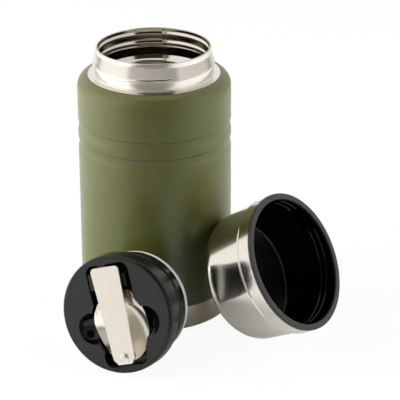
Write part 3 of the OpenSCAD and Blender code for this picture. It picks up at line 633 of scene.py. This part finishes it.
DOME_R, DOME_H, DOME_Z, RIVET_OUT = 3.3, 1.5, 2.95, 27.3
dome_line = [(DOME_R * math.sin(math.radians(a)), DOME_Z + DOME_H * math.cos(math.radians(a)))
             for a in range(0, 91, 6)]
rivet_line = dome_line + [(1.8, DOME_Z), (1.8, 0.8), (3.1, 0.2), (0, 0.2)]
rivet = lathe("lower_rivet", rivet_line, steps=64,
              place=stopper_place @ Matrix.Translation((0, -RIVET_OUT * MM, 0)), sharp_deg=50)
rivet.data.materials.append(spoon_steel)
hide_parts("spoon_link_rivet")
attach(rivet, "link")

# ---------------------------------------------------------------------------
# Cup lid
# Drawn steel cup, polished on the outside, over a glossy black liner whose
# matt rim flange covers the steel's cut edge; it screws over the jar's neck.
# ---------------------------------------------------------------------------

CUP_H, CUP_ROUND, CUP_END_R = 49.0, 14.0, 42.3
CUP_T, CUP_GAP = 0.5, 0.4
cup_tilt = math.radians(29.2)
cup_dir = math.radians(-34.6)
cup_facing = cup_dir + math.radians(3.3)
ring_s, ring_r = CUP_H - CUP_ROUND, CUP_END_R - CUP_ROUND
cup_back = ring_s * math.cos(cup_tilt) + ring_r * math.sin(cup_tilt)
lean_d = BODY_R + CUP_ROUND + CUP_GAP
cup_at = (lean_d * math.cos(cup_dir) + cup_back * math.cos(cup_facing),
          lean_d * math.sin(cup_dir) + cup_back * math.sin(cup_facing),
          ring_s * math.sin(cup_tilt) + ring_r * math.cos(cup_tilt) + CUP_ROUND)
cup_place = (Matrix.Translation(Vector(cup_at) * MM)
             @ Matrix.Rotation(cup_facing + math.pi / 2, 4, "Z")
             @ Matrix.Rotation(math.pi / 2 - cup_tilt, 4, "X"))


def cup_line(inset):
    line = [(45.4 - inset, -2.1), (45.4 - inset, -10.2 + inset, 0.5),
            (43.5 - inset, -10.6 + inset, 0.3), (43.45 - inset, -11.3, 0.5),
            (44.0 - inset, -12.4, 1.0), (42.3 - inset, -35.0, 4)]
    line = rounded_line(line)
    for k in range(1, 25):
        a = math.radians(90 * k / 24)
        line.append((ring_r + (CUP_ROUND - inset) * math.cos(a),
                     -ring_s - (CUP_ROUND - inset) * math.sin(a)))
    return line + [(0, inset - CUP_H)]


cup = lathe("cup_steel_shell", cup_line(0) + list(reversed(cup_line(CUP_T))), closed=True,
            steps=256, place=cup_place, sharp_deg=50)
cup_steel = polished_steel("cup_polished_steel", "#D8D3C8", 0.14, 0.05, place=cup_place,
                           streak_mm=0.3, depth=0.03, anisotropy=0.4)
cup.data.materials.append(cup_steel)
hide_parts("cup_shell")
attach(cup, "cup")

LINER_R = 41.3
LINER_ROWS_Z = (-1.4, -17.0)
LINER_ROW = 0.15
LINER_ROW_COUNT = int((LINER_ROWS_Z[0] - LINER_ROWS_Z[1]) / LINER_ROW) + 1
LINER_BEAD_H, LINER_PITCH = 0.5, 4.5
# each pair of beads: its first degree, its length in degrees, its start and its climb
LINER_BEADS = ((-95, 110, -11.6, 6.6), (38, 32, -5.4, 1.6), (120, 60, -5.8, 3.0),
               (195, 55, -6.4, 3.0))


def liner_bead(turn, z):
    """Height of the liner's thread: pairs of low beads, left out where the core of the mould
    opens."""
    out = 0
    for first, length, start, climb in LINER_BEADS:
        along = (turn - first) % 360
        here = smooth(along, 0, 5) * (1 - smooth(along, length - 5, length))
        for below in (0, LINER_PITCH):
            aside = abs(z - start + below - along * climb / length)
            out = max(out, LINER_BEAD_H * here * (1 - smooth(aside, 0.15, 0.7)))
    return out


liner_line = rounded_line([(0, -39.6), (37.0, -39.6, 2.0), (38.6, -35.1, 1.0), (42.2, -15),
                           (42.8, -11), (42.8, -2.1), (45.5, -2.1, 0.3), (45.5, 0, 0.6),
                           (41.6, 0, 0.5), (LINER_R, LINER_ROWS_Z[0])]
                          + [(LINER_R, LINER_ROWS_Z[0] - k * LINER_ROW)
                             for k in range(1, LINER_ROW_COUNT)]
                          + [(40.9, -18, 3), (37.1, -35.1, 1), (36.4, -38.1, 1.6), (0, -38.1)])
liner = lathe("cup_liner_moulding", liner_line, steps=256, sharp_deg=50)
for vert in liner.data.vertices:
    x, y, z = vert.co / MM
    if LINER_ROWS_Z[1] < z < LINER_ROWS_Z[0] and LINER_R - 0.1 < math.hypot(x, y) < LINER_R + 0.1:
        grow = (LINER_R - liner_bead(math.degrees(math.atan2(y, x)), z)) / math.hypot(x, y)
        vert.co.x, vert.co.y = vert.co.x * grow, vert.co.y * grow
liner.data.transform(cup_place)
liner_matt = moulded_plastic("polypropylene_matt_grey", "#252522", 0.4, 0.6, 0.03, spec=0.5)
liner.data.materials.append(liner_matt)
liner.data.materials.append(head_gloss)
to_cup = cup_place.inverted()
for poly in liner.data.polygons:
    x, y, z = to_cup @ poly.center
    if z < -0.9 * MM and math.hypot(x, y) < 42 * MM:
        poly.material_index = 1
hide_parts("cup_liner")
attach(liner, "cup")

# ---------------------------------------------------------------------------
# Studio
# White table in a white tent, a broad soft box on each side, and the camera
# above the table. Cards stand where the steel needs a darker tone to mirror.
# ---------------------------------------------------------------------------

def flat_card(name, size, place, mat, turn=(0, 0, 0)):
    bm = bmesh.new()
    bmesh.ops.create_grid(bm, x_segments=1, y_segments=1, size=0.5)
    bmesh.ops.scale(bm, vec=(size[0], size[1], 1), verts=bm.verts)
    mesh = bpy.data.meshes.new(name)
    bm.to_mesh(mesh)
    bm.free()
    card = bpy.data.objects.new(name, mesh)
    bpy.context.collection.objects.link(card)
    card.location = place
    card.rotation_euler = turn
    mesh.materials.append(mat)
    return card


CAMERA_SHARE = 0.93


def tent_paper(name, lit_colour, mirror_colour, mirror_share):
    """Paper that throws back the light of its lit colour and is mirrored in its mirror colour, of
    which the share is plain and the rest keeps the shadows. The camera sees it white, and what its
    share leaves over keeps the shadows."""
    mat = new_material(name)
    rays = add_node(mat, "ShaderNodeLightPath")
    mirrors = add_node(mat, "ShaderNodeMath", {"operation": "MAXIMUM"},
                       {0: rays.outputs["Is Glossy Ray"], 1: rays.outputs["Is Transmission Ray"]})
    camera_part = add_node(mat, "ShaderNodeMath", {"operation": "MULTIPLY", 1: CAMERA_SHARE},
                           {0: rays.outputs["Is Camera Ray"]})
    part = add_node(mat, "ShaderNodeMath", {"operation": "MULTIPLY_ADD", 1: mirror_share},
                    {0: mirrors.outputs[0], 2: camera_part.outputs[0]})
    tone = add_node(mat, "ShaderNodeMix",
                    {"data_type": "RGBA", 6: srgb(lit_colour), 7: srgb(mirror_colour)},
                    {"Factor": mirrors.outputs[0]})
    lit_tone = add_node(mat, "ShaderNodeMix", {"data_type": "RGBA", 7: (1, 1, 1, 1)},
                        {"Factor": rays.outputs["Is Camera Ray"], 6: tone.outputs[2]})
    plain_tone = add_node(mat, "ShaderNodeMix",
                          {"data_type": "RGBA", 6: srgb(mirror_colour), 7: (1, 1, 1, 1)},
                          {"Factor": rays.outputs["Is Camera Ray"]})
    lit = add_node(mat, "ShaderNodeBsdfDiffuse", {}, {"Color": lit_tone.outputs[2]})
    plain = add_node(mat, "ShaderNodeEmission", {"Strength": 1.0}, {"Color": plain_tone.outputs[2]})
    return surface(mat,
                   add_node(mat, "ShaderNodeMixShader", {},
                            {0: part.outputs[0], 1: lit.outputs[0], 2: plain.outputs[0]}))


floor = flat_card("studio_floor", (8, 8), (0, 0, -0.0003),
                  tent_paper("white_paper", "#8E8C88", "#FFFFFF", 0.08))
table_card = flat_card("grey_table_card", (0.66, 1.2), (-0.03, -0.9, 0.001),
                       tent_paper("grey_card", "#6E6C68", "#9A978A", 0.5))
dark_paper = tent_paper("dark_card", "#2A2A28", "#2A2A28", 0.9)
dark_card = flat_card("dark_card_above_camera", (2.0, 2.05), (0.22, -1.24, 1.77), dark_paper,
                      (math.radians(37), 0, math.radians(10)))

TENT_LEFT, TENT_RIGHT, TENT_MOUTH = 1.25, 0.75, 0.5
TENT_FILL = 0.27
world = bpy.data.worlds.new("studio")
bpy.context.scene.world = world
world.use_nodes = True
world.node_tree.nodes.clear()
path = add_node(world, "ShaderNodeLightPath")
seen = add_node(world, "ShaderNodeMath", {"operation": "MAXIMUM"},
                {0: path.outputs["Is Camera Ray"], 1: path.outputs["Is Glossy Ray"]})
seen_all = add_node(world, "ShaderNodeMath", {"operation": "MAXIMUM"},
                    {0: seen.outputs[0], 1: path.outputs["Is Transmission Ray"]})
around = add_node(world, "ShaderNodeTexCoord")
around_parts = add_node(world, "ShaderNodeSeparateXYZ", {}, {0: around.outputs["Generated"]})
tent_side = add_node(world, "ShaderNodeMapRange", {1: -1.0, 2: 1.0, 3: TENT_LEFT, 4: TENT_RIGHT},
                     {0: around_parts.outputs[0]})
tent_mouth = add_node(world, "ShaderNodeMapRange", {1: -0.72, 2: -0.6, 3: TENT_MOUTH, 4: 1.0},
                      {0: around_parts.outputs[1]})
tent = add_node(world, "ShaderNodeMath", {"operation": "MULTIPLY"},
                {0: tent_side.outputs[0], 1: tent_mouth.outputs[0]})
mirrored = add_node(world, "ShaderNodeMix", {"data_type": "FLOAT", 2: 1.0},
                    {0: path.outputs["Is Glossy Ray"], 3: tent.outputs[0]})
level = add_node(world, "ShaderNodeMix", {"data_type": "FLOAT", 2: TENT_FILL},
                 {0: seen_all.outputs[0], 3: mirrored.outputs[0]})
background = add_node(world, "ShaderNodeBackground", {"Color": (1, 1, 1, 1)},
                      {"Strength": level.outputs[0]})
add_node(world, "ShaderNodeOutputWorld", {}, {"Surface": background.outputs[0]})


def soft_box(name, place, aim, size, power):
    light = bpy.data.lights.new(name, "AREA")
    light.shape = "RECTANGLE"
    light.size, light.size_y = size
    light.energy = power
    obj = bpy.data.objects.new(name, light)
    bpy.context.collection.objects.link(obj)
    obj.location = place
    obj.rotation_euler = (Vector(aim) - Vector(place)).to_track_quat("-Z", "Y").to_euler()
    obj.visible_glossy = False
    return obj


soft_box("soft_box_left", (-1.2, -0.1, 0.52), (0, 0, 0.08), (1.4, 1.0), 35)
soft_box("soft_box_right", (1.2, -0.1, 0.4), (0, 0, 0.08), (1.4, 1.0), 21)

SENSOR_MM, VIEW_PX, FOCAL_PX = 36, 400, 1995.136
CAMERA_AT = (0.029426, -1.219398, 0.598755)
CAMERA_DOWN_DEG, CAMERA_ROLL_DEG = 23.319, -0.25
camera_data = bpy.data.cameras.new("camera")
camera_data.sensor_width = SENSOR_MM
camera_data.lens = FOCAL_PX / VIEW_PX * SENSOR_MM
camera_data.clip_end = 20
camera = bpy.data.objects.new("camera", camera_data)
bpy.context.collection.objects.link(camera)
camera.matrix_world = (Matrix.Translation(CAMERA_AT)
                       @ Matrix.Rotation(math.radians(90 - CAMERA_DOWN_DEG), 4, "X")
                       @ Matrix.Rotation(math.radians(CAMERA_ROLL_DEG), 4, "Z"))
bpy.context.scene.camera = camera
bpy.context.scene.view_settings.view_transform = "Standard"
